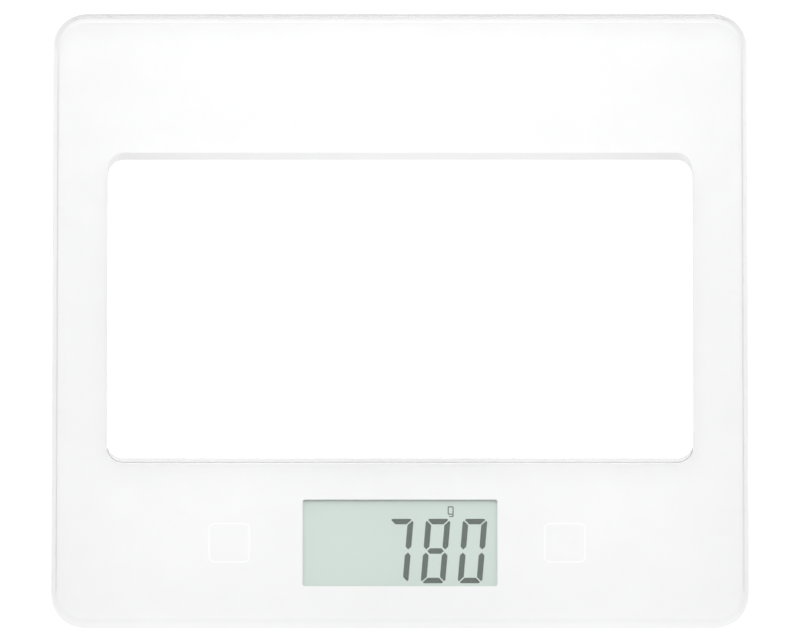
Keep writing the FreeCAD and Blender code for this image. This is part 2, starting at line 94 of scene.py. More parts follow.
def rounded_loop(low, high, radius, z, steps=CORNER_STEPS):
    """Points of a rounded rectangle, anticlockwise seen from above."""
    points = []
    corners = ((high.x, high.y, 0), (low.x, high.y, 90), (low.x, low.y, 180), (high.x, low.y, 270))
    for x, y, start in corners:
        centre_x = x - math.copysign(radius, x - (low.x + high.x) / 2)
        centre_y = y - math.copysign(radius, y - (low.y + high.y) / 2)
        for step in range(steps + 1):
            angle = math.radians(start + 90.0 * step / steps)
            points.append((centre_x + radius * math.cos(angle),
                           centre_y + radius * math.sin(angle), z))
    return points


def rounded_outline(low, high, radius):
    """Flat outline of a small rounded rectangle, as (x, y) points."""
    return [point[:2] for point in rounded_loop(low, high, radius, 0.0, OUTLINE_STEPS)]


def direction(degrees):
    """Unit vector at an angle from the x axis."""
    angle = math.radians(degrees)
    return Vector((math.cos(angle), math.sin(angle)))


def skin_loops(bm, loops, closed):
    """Quads between each loop of points and the next one."""
    rows = [[bm.verts.new(point) for point in loop] for loop in loops]
    pairs = list(zip(rows, rows[1:]))
    if closed:
        pairs.append((rows[-1], rows[0]))
    for row, following in pairs:
        count = len(row)
        for index in range(count):
            after = (index + 1) % count
            bm.faces.new((row[index], row[after], following[after], following[index]))
    return rows


def prism(bm, outline, z_low, z_high):
    """Upright solid on a flat outline of (x, y) points."""
    low = [bm.verts.new((x, y, z_low)) for x, y in outline]
    high = [bm.verts.new((x, y, z_high)) for x, y in outline]
    count = len(outline)
    bm.faces.new(high)
    bm.faces.new(list(reversed(low)))
    for index in range(count):
        after = (index + 1) % count
        bm.faces.new((low[index], low[after], high[after], high[index]))


def ribbon(bm, outer, inner, z_low, z_high):
    """Flat ring between two outlines of (x, y) points with as many points each."""
    loops = []
    for outline, z in ((outer, z_low), (outer, z_high), (inner, z_high), (inner, z_low)):
        loops.append([(x, y, z) for x, y in outline])
    skin_loops(bm, loops, closed=True)


def circle_outline(centre, radius, steps=48, start=0.0, sweep=360.0):
    """Points (x, y) along a circle or an arc of it."""
    points = []
    for step in range(steps if sweep == 360.0 else steps + 1):
        angle = math.radians(start + sweep * step / steps)
        points.append((centre[0] + radius * math.cos(angle), centre[1] + radius * math.sin(angle)))
    return points


def arc_band(centre, radius, width, start, sweep, steps=40):
    """Outline of a curved stroke."""
    outer = circle_outline(centre, radius + width / 2, steps, start, sweep)
    inner = circle_outline(centre, radius - width / 2, steps, start, sweep)
    return outer + list(reversed(inner))


def stroke(start, end, width):
    """Outline of a straight stroke."""
    along = (Vector(end) - Vector(start)).normalized()
    across = Vector((-along.y, along.x)) * width / 2
    return [tuple(Vector(start) - across), tuple(Vector(end) - across),
            tuple(Vector(end) + across), tuple(Vector(start) + across)]


# ---- material helpers ------------------------------------------------------------------------
def new_material(name, colour, roughness, **sockets):
    """A material with one Principled shader; sockets are its other inputs, _ for a space."""
    material = bpy.data.materials.new(name)
    material.use_nodes = True
    shader = material.node_tree.nodes["Principled BSDF"]
    shader.inputs["Base Color"].default_value = (*colour, 1.0)
    shader.inputs["Roughness"].default_value = roughness
    for socket, value in sockets.items():
        shader.inputs[socket.replace("_", " ")].default_value = value
    return material


def shader_of(material):
    return material.node_tree.nodes["Principled BSDF"]


def add_node(material, kind, **values):
    """A node whose inputs are set by name, _ for a space."""
    node = material.node_tree.nodes.new(kind)
    for socket, value in values.items():
        node.inputs[socket.replace("_", " ")].default_value = value
    return node


def link(material, source, target):
    material.node_tree.links.new(source, target)


def part_coordinates(material, stretch=(1.0, 1.0, 1.0)):
    """The part's own coordinates, in metres."""
    coordinates = add_node(material, "ShaderNodeTexCoord")
    mapping = add_node(material, "ShaderNodeMapping", Scale=stretch)
    link(material, coordinates.outputs["Object"], mapping.inputs["Vector"])
    return mapping.outputs["Vector"]


def noise(material, size, detail=3.0, stretch=(1.0, 1.0, 1.0)):
    """Noise whose grains are about size metres across."""
    texture = add_node(material, "ShaderNodeTexNoise", Scale=1.0 / size, Detail=detail)
    link(material, part_coordinates(material, stretch), texture.inputs["Vector"])
    return texture.outputs["Fac"]


def cells(material, size):
    """Rounded cells about size metres across."""
    texture = add_node(material, "ShaderNodeTexVoronoi", Scale=1.0 / size)
    link(material, part_coordinates(material), texture.inputs["Vector"])
    return texture.outputs["Distance"]


def vary_colour(material, factor, dark, light, low=0.35, high=0.65):
    """Base colour that runs from dark to light."""
    ramp = add_node(material, "ShaderNodeValToRGB")
    ramp.color_ramp.elements[0].position = low
    ramp.color_ramp.elements[0].color = (*dark, 1.0)
    ramp.color_ramp.elements[1].position = high
    ramp.color_ramp.elements[1].color = (*light, 1.0)
    link(material, factor, ramp.inputs["Fac"])
    link(material, ramp.outputs["Color"], shader_of(material).inputs["Base Color"])


def vary_roughness(material, factor, low, high):
    """Roughness that runs from low to high."""
    spread = add_node(material, "ShaderNodeMapRange", To_Min=low, To_Max=high)
    link(material, factor, spread.inputs["Value"])
    link(material, spread.outputs["Result"], shader_of(material).inputs["Roughness"])


def add_bump(material, height, depth, edge_radius=0.0):
    """Relief of the given depth in metres, on edges softened by edge_radius."""
    bump = add_node(material, "ShaderNodeBump", Strength=1.0, Distance=depth)
    link(material, height, bump.inputs["Height"])
    if edge_radius:
        bevel = add_node(material, "ShaderNodeBevel", Radius=edge_radius)
        link(material, bevel.outputs["Normal"], bump.inputs["Normal"])
    link(material, bump.outputs["Normal"], shader_of(material).inputs["Normal"])


def clear_where(material, switch, tint=(1.0, 1.0, 1.0)):
    """Makes the material clear where the switch is 1."""
    clear = add_node(material, "ShaderNodeBsdfTransparent", Color=(*tint, 1.0))
    mix = add_node(material, "ShaderNodeMixShader")
    output = material.node_tree.nodes["Material Output"]
    link(material, switch, mix.inputs["Fac"])
    link(material, shader_of(material).outputs["BSDF"], mix.inputs[1])
    link(material, clear.outputs["BSDF"], mix.inputs[2])
    link(material, mix.outputs["Shader"], output.inputs["Surface"])


def solid_where(material, switch):
    """Makes the material clear except where the switch is 1."""
    invert = add_node(material, "ShaderNodeMapRange", To_Min=1.0, To_Max=0.0)
    link(material, switch, invert.inputs["Value"])
    clear_where(material, invert.outputs["Result"])


# ---- materials ---------------------------------------------------------------------------------
def glass_material():
    """Clear low-iron glass, which shadow rays pass through so that the lamps reach the print."""
    material = new_material("clear_glass", (0.99, 0.992, 0.991), 0.0, IOR=1.5,
                            Transmission_Weight=1.0)
    vary_roughness(material, noise(material, 9 * MM, 5.0), 0.0, 0.012)
    path = add_node(material, "ShaderNodeLightPath")
    clear_where(material, path.outputs["Is Shadow Ray"], (0.96, 0.962, 0.961))
    return material


def ground_material():
    """Finely ground, milky wall of the opening.

    Only rays straight from the camera meet it, so that it doesn't shade the print. It can't
    be seen through the glass.
    """
    material = new_material("ground_glass", (0.96, 0.962, 0.961), 0.5)
    vary_colour(material, noise(material, 0.5 * MM), (0.95, 0.952, 0.951), (0.97, 0.972, 0.971))
    add_bump(material, noise(material, 0.1 * MM, 2.0), 0.003 * MM)
    path = add_node(material, "ShaderNodeLightPath")
    solid_where(material, path.outputs["Is Camera Ray"])
    return material


def print_material():
    """Even white screen print with a trace of mottle."""
    material = new_material("white_print", (0.93, 0.93, 0.93), 0.4)
    mottle = noise(material, 14 * MM, 6.0)
    vary_colour(material, mottle, (0.904, 0.904, 0.904), (0.917, 0.917, 0.917))
    add_bump(material, noise(material, 0.25 * MM, 2.0), 0.002 * MM)
    return material


def key_ink_material():
    """Brighter white ink of the key outlines."""
    material = new_material("key_ink", (1.0, 1.0, 1.0), 0.35)
    vary_colour(material, noise(material, 0.4 * MM), (0.97, 0.97, 0.97), (1.0, 1.0, 1.0))
    return material


def symbol_ink_material():
    """Faint ink of the key symbols."""
    material = new_material("symbol_ink", (0.92, 0.92, 0.92), 0.35)
    vary_colour(material, noise(material, 0.4 * MM), (0.9, 0.9, 0.9), (0.93, 0.93, 0.93))
    return material


def display_material():
    """Pale grey-green reflective display under a satin polariser."""
    material = new_material("display_cell", (0.59, 0.67, 0.63), 0.3, Coat_Weight=0.3,
                            Coat_Roughness=0.25)
    grain = noise(material, 0.12 * MM, 2.0, stretch=(1.0, 0.35, 1.0))
    vary_colour(material, grain, (0.575, 0.668, 0.618), (0.597, 0.688, 0.638), 0.25, 0.75)
    vary_roughness(material, noise(material, 1.5 * MM), 0.28, 0.36)
    add_bump(material, noise(material, 0.06 * MM, 1.0), 0.001 * MM)
    return material


def segment_material():
    """Dark switched-on segments."""
    material = new_material("display_segments", (0.06, 0.085, 0.07), 0.45)
    vary_colour(material, noise(material, 0.3 * MM), (0.05, 0.078, 0.062), (0.062, 0.09, 0.074))
    return material


def moulded_material(name, colour, grain=0.22, depth=0.012, roughness=0.5):
    """Moulded plastic with a fine spark-eroded grain; grain and depth are in millimetres."""
    material = new_material(name, colour, roughness)
    dark = tuple(channel * 0.965 for channel in colour)
    vary_colour(material, noise(material, 6 * MM, 6.0), dark, colour)
    vary_roughness(material, noise(material, 2.5 * MM, 4.0), roughness - 0.06, roughness + 0.06)
    add_bump(material, noise(material, grain * MM, 4.0), depth * MM, 0.15 * MM)
    return material


def foam_material(name, colour):
    """Closed-cell foam cut through its bubbles, with painted shade in the bubbles' hollows."""
    material = new_material(name, colour, 0.85)
    bubbles = cells(material, 0.18 * MM)
    # painted shade: each cut bubble is darker towards its middle, where the bump sinks it
    vary_colour(material, bubbles, tuple(channel * 0.8 for channel in colour), colour, 0.05, 0.5)
    add_bump(material, bubbles, 0.05 * MM)
    return material


def rubber_material():
    """Grey moulded rubber with a dusty bloom."""
    material = new_material("pad_rubber", (0.16, 0.165, 0.17), 0.8)
    vary_colour(material, noise(material, 1.2 * MM, 6.0), (0.13, 0.135, 0.14), (0.2, 0.205, 0.21))
    vary_roughness(material, noise(material, 0.8 * MM), 0.7, 0.9)
    add_bump(material, noise(material, 0.12 * MM, 5.0), 0.02 * MM, 0.12 * MM)
    return material


def metal_material(name, colour, roughness, stretch):
    """Bare or plated metal with drawn lines along one direction."""
    material = new_material(name, colour, roughness, Metallic=1.0)
    lines = noise(material, 0.15 * MM, 5.0, stretch)
    vary_colour(material, lines, tuple(channel * 0.88 for channel in colour), colour)
    vary_roughness(material, lines, roughness - 0.08, roughness + 0.1)
    add_bump(material, lines, 0.004 * MM, 0.08 * MM)
    return material


def board_material():
    """Green solder mask over a raster of tracks."""
    material = new_material("circuit_board", (0.02, 0.16, 0.07), 0.35, Coat_Weight=0.4,
                            Coat_Roughness=0.15)
    tracks = add_node(material, "ShaderNodeTexBrick", Scale=1.0, Mortar_Size=0.18 * MM,
                      Brick_Width=5.5 * MM, Row_Height=1.4 * MM)
    tracks.inputs["Color1"].default_value = (0.012, 0.12, 0.05, 1.0)
    tracks.inputs["Color2"].default_value = (0.016, 0.14, 0.06, 1.0)
    tracks.inputs["Mortar"].default_value = (0.05, 0.26, 0.12, 1.0)
    link(material, part_coordinates(material), tracks.inputs["Vector"])
    link(material, tracks.outputs["Color"], shader_of(material).inputs["Base Color"])
    add_bump(material, tracks.outputs["Fac"], 0.03 * MM)
    return material


def cloth_material():
    """Conductive cloth round a foam post: a fine square weave, with painted light on its raised
    squares and painted shade on its sunk ones.
    """
    material = new_material("conductive_foam", (0.2, 0.2, 0.205), 0.45, Metallic=0.6)
    weave = add_node(material, "ShaderNodeTexChecker", Scale=1.0 / (0.3 * MM))
    link(material, part_coordinates(material), weave.inputs["Vector"])
    # painted light and shade: the squares that the bump raises are lighter, the sunk ones darker
    vary_colour(material, weave.outputs["Fac"], (0.15, 0.15, 0.155), (0.26, 0.26, 0.265), 0.0, 1.0)
    add_bump(material, weave.outputs["Fac"], 0.03 * MM)
    return material


def striped_rubber_material():
    """Connector of thin black and pink layers side by side."""
    material = new_material("contact_rubber", (0.4, 0.2, 0.2), 0.6)
    stripes = add_node(material, "ShaderNodeTexWave", Scale=1.0 / (2.0 * MM))
    link(material, part_coordinates(material), stripes.inputs["Vector"])
    vary_colour(material, stripes.outputs["Fac"], (0.03, 0.03, 0.03), (0.55, 0.3, 0.3), 0.4, 0.6)
    return material


def gloss_material(name, colour, roughness, grain, depth):
    """Smooth coloured plastic, resin or silicone; grain and depth are in millimetres."""
    material = new_material(name, colour, roughness, Coat_Weight=0.3, Coat_Roughness=0.2)
    dark = tuple(channel * 0.85 for channel in colour)
    vary_colour(material, noise(material, 3 * grain * MM, 4.0), dark, colour)
    add_bump(material, noise(material, grain * MM, 3.0), depth * MM, 0.1 * MM)
    return material


def slot_materials():
    """One finished material for each material slot of the record."""
    return {
        "clear_glass": glass_material(),
        "white_print": print_material(),
        "foam_tape": foam_material("foam_tape", (0.8, 0.8, 0.79)),
        "housing_plastic": moulded_material("housing_plastic", (0.84, 0.84, 0.84)),
        "screw_steel": metal_material("screw_steel", (0.66, 0.67, 0.69), 0.28, (1.0, 1.0, 4.0)),
        "white_potting": gloss_material("white_potting", (0.8, 0.8, 0.78), 0.35, 1.2, 0.03),
        "circuit_board": board_material(),
        "chip_black": gloss_material("chip_black", (0.02, 0.02, 0.022), 0.45, 0.15, 0.006),
        "component_ceramic": gloss_material("component_ceramic", (0.45, 0.33, 0.2), 0.4, 0.2, 0.004),
        "display_cell": display_material(),
        "holder_plastic": moulded_material("holder_plastic", (0.7, 0.7, 0.7), 0.3, 0.01, 0.4),
        "contact_rubber": striped_rubber_material(),
        "conductive_foam": cloth_material(),
        "battery_steel": metal_material("battery_steel", (0.72, 0.72, 0.73), 0.22, (1.0, 8.0, 1.0)),
        "contact_metal": metal_material("contact_metal", (0.75, 0.73, 0.66), 0.2, (6.0, 1.0, 1.0)),
        "door_plastic": moulded_material("door_plastic", (0.8, 0.8, 0.8), 0.3, 0.015, 0.55),
        "lead_insulation": gloss_material("lead_insulation", (0.6, 0.05, 0.04), 0.3, 0.8, 0.01),
        "cell_steel": metal_material("cell_steel", (0.58, 0.59, 0.61), 0.34, (1.0, 6.0, 1.0)),
        "foot_plastic": moulded_material("foot_plastic", (0.78, 0.78, 0.78), 0.25, 0.012, 0.5),
        "pad_rubber": rubber_material(),
    }


NODE_SLOTS = {
    "platform_glass": "clear_glass",
    "printed_layer": "white_print",
    "bond_tape": "foam_tape",
    "upper_housing": "housing_plastic",
    "bottom_cover": "housing_plastic",
    "cover_screws": "screw_steel",
    "board_screws": "screw_steel",
    "strain_gauges": "white_potting",
    "main_board": "circuit_board",
    "controller_chip": "chip_black",
    "board_components": "component_ceramic",
    "display_panel": "display_cell",
    "display_holder": "holder_plastic",
    "display_gasket": "foam_tape",
    "contact_strip": "contact_rubber",
    "touch_pad_left": "conductive_foam",
    "touch_pad_right": "conductive_foam",
    "coin_cell": "battery_steel",
    "battery_holder": "holder_plastic",
    "positive_contact": "contact_metal",
    "negative_contact": "contact_metal",
    "battery_door": "door_plastic",
    "cell_leads": "lead_insulation",
    "battery_leads": "lead_insulation",
    "load_cell": "cell_steel",
    "foot_cup": "foot_plastic",
    "foot_pad": "pad_rubber",
}


def dress_nodes(materials):
    """Gives every CAD node the material of its slot."""
    for name, node in NODES.items():
        family = next(key for key in NODE_SLOTS if name.startswith(key))
        for holder in node.material_slots:
            holder.material = materials[NODE_SLOTS[family]]


# ---- the glass plate -------------------------------------------------------------------------
def grown(low, high, amount):
    """Corners of a rectangle moved outwards by amount."""
    edge = Vector((amount, amount))
    return low - edge, high + edge


def rim_loop(inset, z):
    """The plate's outline, moved inwards."""
    low, high = grown(GLASS_LOW.xy, GLASS_HIGH.xy, -inset)
    return rounded_loop(low, high, PLATE_CORNER - inset, z)


def opening_loop(margin, z):
    """The opening's outline, moved outwards into the glass."""
    low, high = grown(OPENING_LOW, OPENING_HIGH, margin)
    return rounded_loop(low, high, OPENING_CORNER + margin, z)


def quarter(steps=ROUND_STEPS):
    """Sine and cosine along a quarter turn."""
    for step in range(steps + 1):
        angle = math.pi / 2 * step / steps
        yield math.sin(angle), math.cos(angle)


def glass_plate(material):
    """Frame of clear glass with polished rounds, its underside bonded to the print."""
    top = GLASS_HIGH.z
    base = GLASS_LOW.z - EMBED
    loops = [rim_loop(RIM_ROUND + FLAT_MARGIN, top)]
    for sine, cosine in quarter():
        loops.append(rim_loop(RIM_ROUND * (1 - sine), top - RIM_ROUND * (1 - cosine)))
    for sine, cosine in quarter():
        loops.append(rim_loop(RIM_ROUND * (1 - cosine), base + RIM_ROUND * (1 - sine)))
    loops.append(rim_loop(RIM_ROUND + FLAT_MARGIN, base))
    loops.append(opening_loop(OPENING_ROUND + FLAT_MARGIN, base))
    for sine, cosine in quarter():
        loops.append(opening_loop(OPENING_ROUND * (1 - sine), base + OPENING_ROUND * (1 - cosine)))
    for sine, cosine in quarter():
        loops.append(opening_loop(OPENING_ROUND * (1 - cosine), top - OPENING_ROUND * (1 - sine)))
    loops.append(opening_loop(OPENING_ROUND + FLAT_MARGIN, top))
    bm = bmesh.new()
    skin_loops(bm, loops, closed=True)
    plate = add_mesh("glass_plate", bm, material, SCALE_BODY)
    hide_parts("platform_glass")


def opening_wall(material):
    """Ground skin on the wall of the opening, between its two fine arrises."""
    outer = [point[:2] for point in opening_loop(WALL_SKIN, 0.0)]
    inner = [point[:2] for point in opening_loop(-WALL_PROUD, 0.0)]
    bm = bmesh.new()
    ribbon(bm, outer, inner, GLASS_LOW.z + OPENING_ROUND, GLASS_HIGH.z - OPENING_ROUND)
    add_mesh("opening_wall", bm, material, SCALE_BODY, smooth=False)


# ---- touch keys ------------------------------------------------------------------------------
KEY_OUTLINE = 12.8 * MM
KEY_CORNER = 1.9 * MM
KEY_LINE = 0.45 * MM
SYMBOL_LINE = 0.35 * MM
POWER_RADIUS = 2.0 * MM
POWER_BAR_LOW = 0.4 * MM
POWER_BAR_HIGH = 2.4 * MM
ARROW_REACH = 2.2 * MM
ARROW_OFFSET = 0.8 * MM
ARROW_BARB = 1.0 * MM
KEY_SHIFT = Vector((-0.9, 0.0)) * MM     # the printed keys sit a little left of their pads
INK_LOW = GLASS_LOW.z - 0.01 * MM
INK_HIGH = GLASS_LOW.z + 0.03 * MM
INK_LIFT = 0.005 * MM           # keeps crossing strokes out of each other's faces


def key_outline(side, centre, material):
    """Rounded square printed behind the glass round one touch key."""
    bm = bmesh.new()
    loops = []
    for inset in (0.0, KEY_LINE):
        half = Vector((KEY_OUTLINE / 2 - inset, KEY_OUTLINE / 2 - inset))
        loops.append(rounded_outline(centre - half, centre + half, KEY_CORNER - inset))
    ribbon(bm, loops[0], loops[1], INK_LOW, INK_HIGH)
    add_mesh("key_outline_" + side, bm, material, SCALE_BODY, smooth=False)


def power_symbol(centre, material):
    """Broken ring with an upright bar, on the left key."""
    bm = bmesh.new()
    prism(bm, arc_band(centre, POWER_RADIUS, SYMBOL_LINE, 120.0, 300.0), INK_LOW, INK_HIGH)
    bar = stroke(centre + Vector((0.0, POWER_BAR_LOW)), centre + Vector((0.0, POWER_BAR_HIGH)),
                 SYMBOL_LINE)
    prism(bm, bar, INK_LOW, INK_HIGH)
    add_mesh("key_symbol_left", bm, material, SCALE_BODY, smooth=False)


def change_symbol(centre, material):
    """Two opposite arrows, on the right key."""
    bm = bmesh.new()
    for way in (-1, 1):
        tail = centre + way * Vector((-ARROW_REACH, ARROW_OFFSET))
        tip = centre + way * Vector((ARROW_REACH, ARROW_OFFSET))
        barb = tip + way * Vector((-ARROW_BARB, ARROW_BARB))
        prism(bm, stroke(tail, tip, SYMBOL_LINE), INK_LOW, INK_HIGH)
        prism(bm, stroke(barb, tip, SYMBOL_LINE), INK_LOW + INK_LIFT, INK_HIGH + INK_LIFT)
    add_mesh("key_symbol_right", bm, material, SCALE_BODY, smooth=False)


def touch_keys():
    """Outlines and symbols of both keys."""
    outline_ink = key_ink_material()
    symbol_ink = symbol_ink_material()
    centres = {side: ((low + high) / 2).xy + KEY_SHIFT for side, (low, high) in KEY_PADS.items()}
    for side, centre in centres.items():
        key_outline(side, centre, outline_ink)
    power_symbol(centres["left"], symbol_ink)
    change_symbol(centres["right"], symbol_ink)


# ---- figures on the display --------------------------------------------------------------------
READING = "780"
DIGIT_WIDTH = 7.57 * MM
DIGIT_HEIGHT = 20.7 * MM
DIGIT_STROKE = 1.76 * MM
DIGIT_GAP = 0.2 * MM            # half the gap between neighbouring segments
DIGIT_CHAMFER = 0.75 * MM
MIDDLE_INSET = 1.2 * MM         # from the side of a figure to the point of its middle bar
SIDE_TIP = 0.48 * MM            # from the middle line to the point of an upright
SIDE_SHOULDER = 1.41 * MM
DIGIT_SLANT = math.tan(math.radians(4.7))
DIGIT_PITCH = 11.38 * MM
LAST_DIGIT = Vector((22.34, -73.7)) * MM
UNIT_CENTRE = Vector((15.6, -61.05)) * MM
UNIT_SIZE = Vector((1.5, 3.1)) * MM
UNIT_LINE = 0.34 * MM
UNIT_WAIST = 0.75 * MM          # from the foot of the letter to its lower ring
UNIT_TAIL = 0.3 * MM
UNIT_LIFT = 0.001 * MM          # keeps crossing strokes out of each other's faces
SEGMENT_LOW = DISPLAY_HIGH.z - 0.01 * MM
SEGMENT_HIGH = DISPLAY_HIGH.z + 0.02 * MM


def bar_segment(sign):
    """Top (sign 1) or bottom (sign -1) bar of a figure."""
    half_width = DIGIT_WIDTH / 2
    half_height = DIGIT_HEIGHT / 2
    reach = half_width - DIGIT_GAP * math.sqrt(2)
    right = [(reach - DIGIT_CHAMFER, half_height),
             (reach - DIGIT_CHAMFER / 2, half_height - DIGIT_CHAMFER / 2),
             (reach - DIGIT_STROKE, half_height - DIGIT_STROKE)]
    left = [(-x, y) for x, y in reversed(right)]
    return [(x, sign * y) for x, y in right + left]


def middle_segment():
    """Pointed bar across the middle."""
    reach = DIGIT_WIDTH / 2 - MIDDLE_INSET
    shoulder = reach - DIGIT_STROKE / 2
    half = DIGIT_STROKE / 2
    return [(reach, 0.0), (shoulder, half), (-shoulder, half),
            (-reach, 0.0), (-shoulder, -half), (shoulder, -half)]


def side_segment(side, sign):
    """Upright of a figure: pointed at the middle, mitred at the corner."""
    outer = DIGIT_WIDTH / 2
    inner = outer - DIGIT_STROKE
    top = DIGIT_HEIGHT / 2 - DIGIT_GAP * math.sqrt(2)
    outline = [(outer, top - DIGIT_CHAMFER), (outer - DIGIT_CHAMFER / 2, top - DIGIT_CHAMFER / 2),
               (inner, top - DIGIT_STROKE), (inner, SIDE_SHOULDER),
               (outer - DIGIT_STROKE / 2, SIDE_TIP), (outer, SIDE_SHOULDER)]
    return [(side * x, sign * y) for x, y in outline]


def lit_segments(figure):
    """Outlines of the segments that are on."""
    segments = {
        "top": bar_segment(1), "bottom": bar_segment(-1), "middle": middle_segment(),
        "upper_right": side_segment(1, 1), "lower_right": side_segment(1, -1),
        "upper_left": side_segment(-1, 1), "lower_left": side_segment(-1, -1),
    }
    off = {"7": ("bottom", "middle", "upper_left", "lower_left"), "8": (), "0": ("middle",)}
    return [outline for name, outline in segments.items() if name not in off[figure]]


def display_figure(name, figure, centre, material):
    """One seven-segment figure, leaning to the right."""
    bm = bmesh.new()
    for outline in lit_segments(figure):
        placed = [(centre.x + x + y * DIGIT_SLANT, centre.y + y) for x, y in outline]
        prism(bm, placed, SEGMENT_LOW, SEGMENT_HIGH)
    add_mesh(name, bm, material, SCALE_BODY, smooth=False)


def unit_mark(material):
    """Letter g for grams: a ring with a tail."""
    bm = bmesh.new()
    left, right = -UNIT_SIZE.x / 2, UNIT_SIZE.x / 2
    top, bottom = UNIT_SIZE.y / 2, -UNIT_SIZE.y / 2
    waist = bottom + UNIT_WAIST
    lines = (((left, top), (right, top)), ((left, waist), (right, waist)),
             ((left, top), (left, waist)), ((right, top), (right, bottom)),
             ((left + UNIT_TAIL, bottom), (right, bottom)))
    for number, (start, end) in enumerate(lines):
        lift = number * UNIT_LIFT
        outline = stroke(UNIT_CENTRE + Vector(start), UNIT_CENTRE + Vector(end), UNIT_LINE)
        prism(bm, outline, SEGMENT_LOW + lift, SEGMENT_HIGH + lift)
    add_mesh("display_unit", bm, material, SCALE_BODY, smooth=False)


def display_reading():
    """The figures and the unit that the display shows."""
    ink = segment_material()
    last = len(READING) - 1
    for place, figure in enumerate(READING):
        centre = LAST_DIGIT - Vector(((last - place) * DIGIT_PITCH, 0.0))
        display_figure("display_figure_" + str(place + 1), figure, centre, ink)
    unit_mark(ink)


# ---- underside -----------------------------------------------------------------------------------
RELIEF = 0.15 * MM
DOOR_CENTRE = ((DOOR_LOW + DOOR_HIGH) / 2).xy
DOOR_REACH = (DOOR_HIGH.x - DOOR_LOW.x) / 2
MARK_RADIUS = DOOR_REACH + 2.2 * MM     # of the marks round the battery door
MARK_LINE = 0.5 * MM
ARROW_START = 20.0                      # degrees
ARROW_SWEEP = 45.0
OPEN_ANGLE = 5.0
HEAD_LENGTH = 1.3 * MM                  # arrow head
HEAD_HALF = 0.9 * MM
DOT_RADIUS = 0.7 * MM                   # closed mark
OPEN_RADIUS = 0.8 * MM                  # open mark
OPEN_LINE = 0.3 * MM
PLUS_OFFSET = 8.0 * MM
PLUS_ARM = 1.5 * MM
CLOCK_RELIEF = 0.08 * MM
CLOCK_LINE = 0.2 * MM
CLOCK_RADII = (4.0 * MM, 1.6 * MM)
CLOCK_TICK_START = 2.6 * MM
CLOCK_TICK_END = 3.4 * MM
CLOCK_HAND = 1.2 * MM
CLOCK_HAND_LINE = 0.3 * MM
EJECTOR_RELIEF = 0.03 * MM
EJECTOR_RADIUS = 1.8 * MM
EJECTOR_LINE = 0.12 * MM
EJECTOR_X = (-50.0, -30.0, 30.0, 50.0)  # millimetres
EJECTOR_Y = (-93.0, -51.0, 58.0, 93.0)
LABEL_HALF = Vector((27.0, 13.0)) * MM
LABEL_CORNER = 2.0 * MM
LABEL_FILM = 0.08 * MM
BORDER_INSETS = (1.2 * MM, 1.5 * MM)
BORDER_CORNER = 0.9 * MM


def raised(name, outlines, underside, material, body):
    """Marks that stand proud of a downward face."""
    bm = bmesh.new()
    for outline in outlines:
        prism(bm, outline, underside - RELIEF, underside + RELIEF)
    add_mesh(name, bm, material, body, smooth=False)


def ring(bm, centre, radius, width, z_low, z_high):
    """Flat round ring."""
    ribbon(bm, circle_outline(centre, radius), circle_outline(centre, radius - width), z_low, z_high)


def door_marks(materials):
    """Turn arrow, open and closed marks on the cover, and a plus on the battery door."""
    cover = COVER_LOW.z
    arrow = arc_band(DOOR_CENTRE, MARK_RADIUS, MARK_LINE, ARROW_START, ARROW_SWEEP)
    outwards = direction(ARROW_START)
    tip = DOOR_CENTRE + outwards * MARK_RADIUS
    along = Vector((outwards.y, -outwards.x))
    head = [tuple(tip + along * HEAD_LENGTH), tuple(tip + outwards * HEAD_HALF),
            tuple(tip - outwards * HEAD_HALF)]
    closed_place = DOOR_CENTRE + Vector((0.0, MARK_RADIUS))
    closed_mark = circle_outline(closed_place, DOT_RADIUS, 24)
    raised("door_turn_marks", [arrow, head, closed_mark], cover, materials["housing_plastic"],
           SCALE_BODY)
    bm = bmesh.new()
    open_place = DOOR_CENTRE + direction(OPEN_ANGLE) * MARK_RADIUS
    ring(bm, open_place, OPEN_RADIUS, OPEN_LINE, cover - RELIEF, cover + RELIEF)
    add_mesh("door_open_mark", bm, materials["housing_plastic"], SCALE_BODY,
             smooth=False)
    plus = DOOR_CENTRE - Vector((0.0, PLUS_OFFSET))
    arms = (Vector((PLUS_ARM, 0.0)), Vector((0.0, PLUS_ARM)))
    bars = [stroke(plus - arm, plus + arm, MARK_LINE) for arm in arms]
    raised("door_polarity_mark", bars, DOOR_LOW.z, materials["door_plastic"], LID_BODY)


def date_clock(centre, material):
    """Moulder's date wheel: two rings, twelve ticks and a hand."""
    bm = bmesh.new()
    low = COVER_LOW.z - CLOCK_RELIEF
    high = COVER_LOW.z + RELIEF
    for radius in CLOCK_RADII:
        ring(bm, centre, radius, CLOCK_LINE, low, high)
    for hour in range(12):
        outwards = direction(30.0 * hour)
        tick = stroke(centre + outwards * CLOCK_TICK_START, centre + outwards * CLOCK_TICK_END,
                      CLOCK_LINE)
        prism(bm, tick, low, high)
    hand = stroke(centre, centre + Vector((0.0, CLOCK_HAND)), CLOCK_HAND_LINE)
    prism(bm, hand, low, high)
    add_mesh("date_clock", bm, material, SCALE_BODY, smooth=False)


def ejector_marks(material):
    """Faint rings left by the mould's ejector pins."""
    bm = bmesh.new()
    low = COVER_LOW.z - EJECTOR_RELIEF
    high = COVER_LOW.z + RELIEF
    for x in EJECTOR_X:
        for y in EJECTOR_Y:
            ring(bm, (x * MM, y * MM), EJECTOR_RADIUS, EJECTOR_LINE, low, high)
    add_mesh("ejector_marks", bm, material, SCALE_BODY, smooth=False)


def label_material():
    """Matt silver label film with fine brushed lines."""
    material = new_material("label_film", (0.62, 0.63, 0.64), 0.45, Metallic=0.7)
    lines = noise(material, 0.2 * MM, 4.0, (0.1, 3.0, 1.0))
    vary_colour(material, lines, (0.56, 0.57, 0.58), (0.66, 0.67, 0.68))
    add_bump(material, lines, 0.004 * MM)
    return material


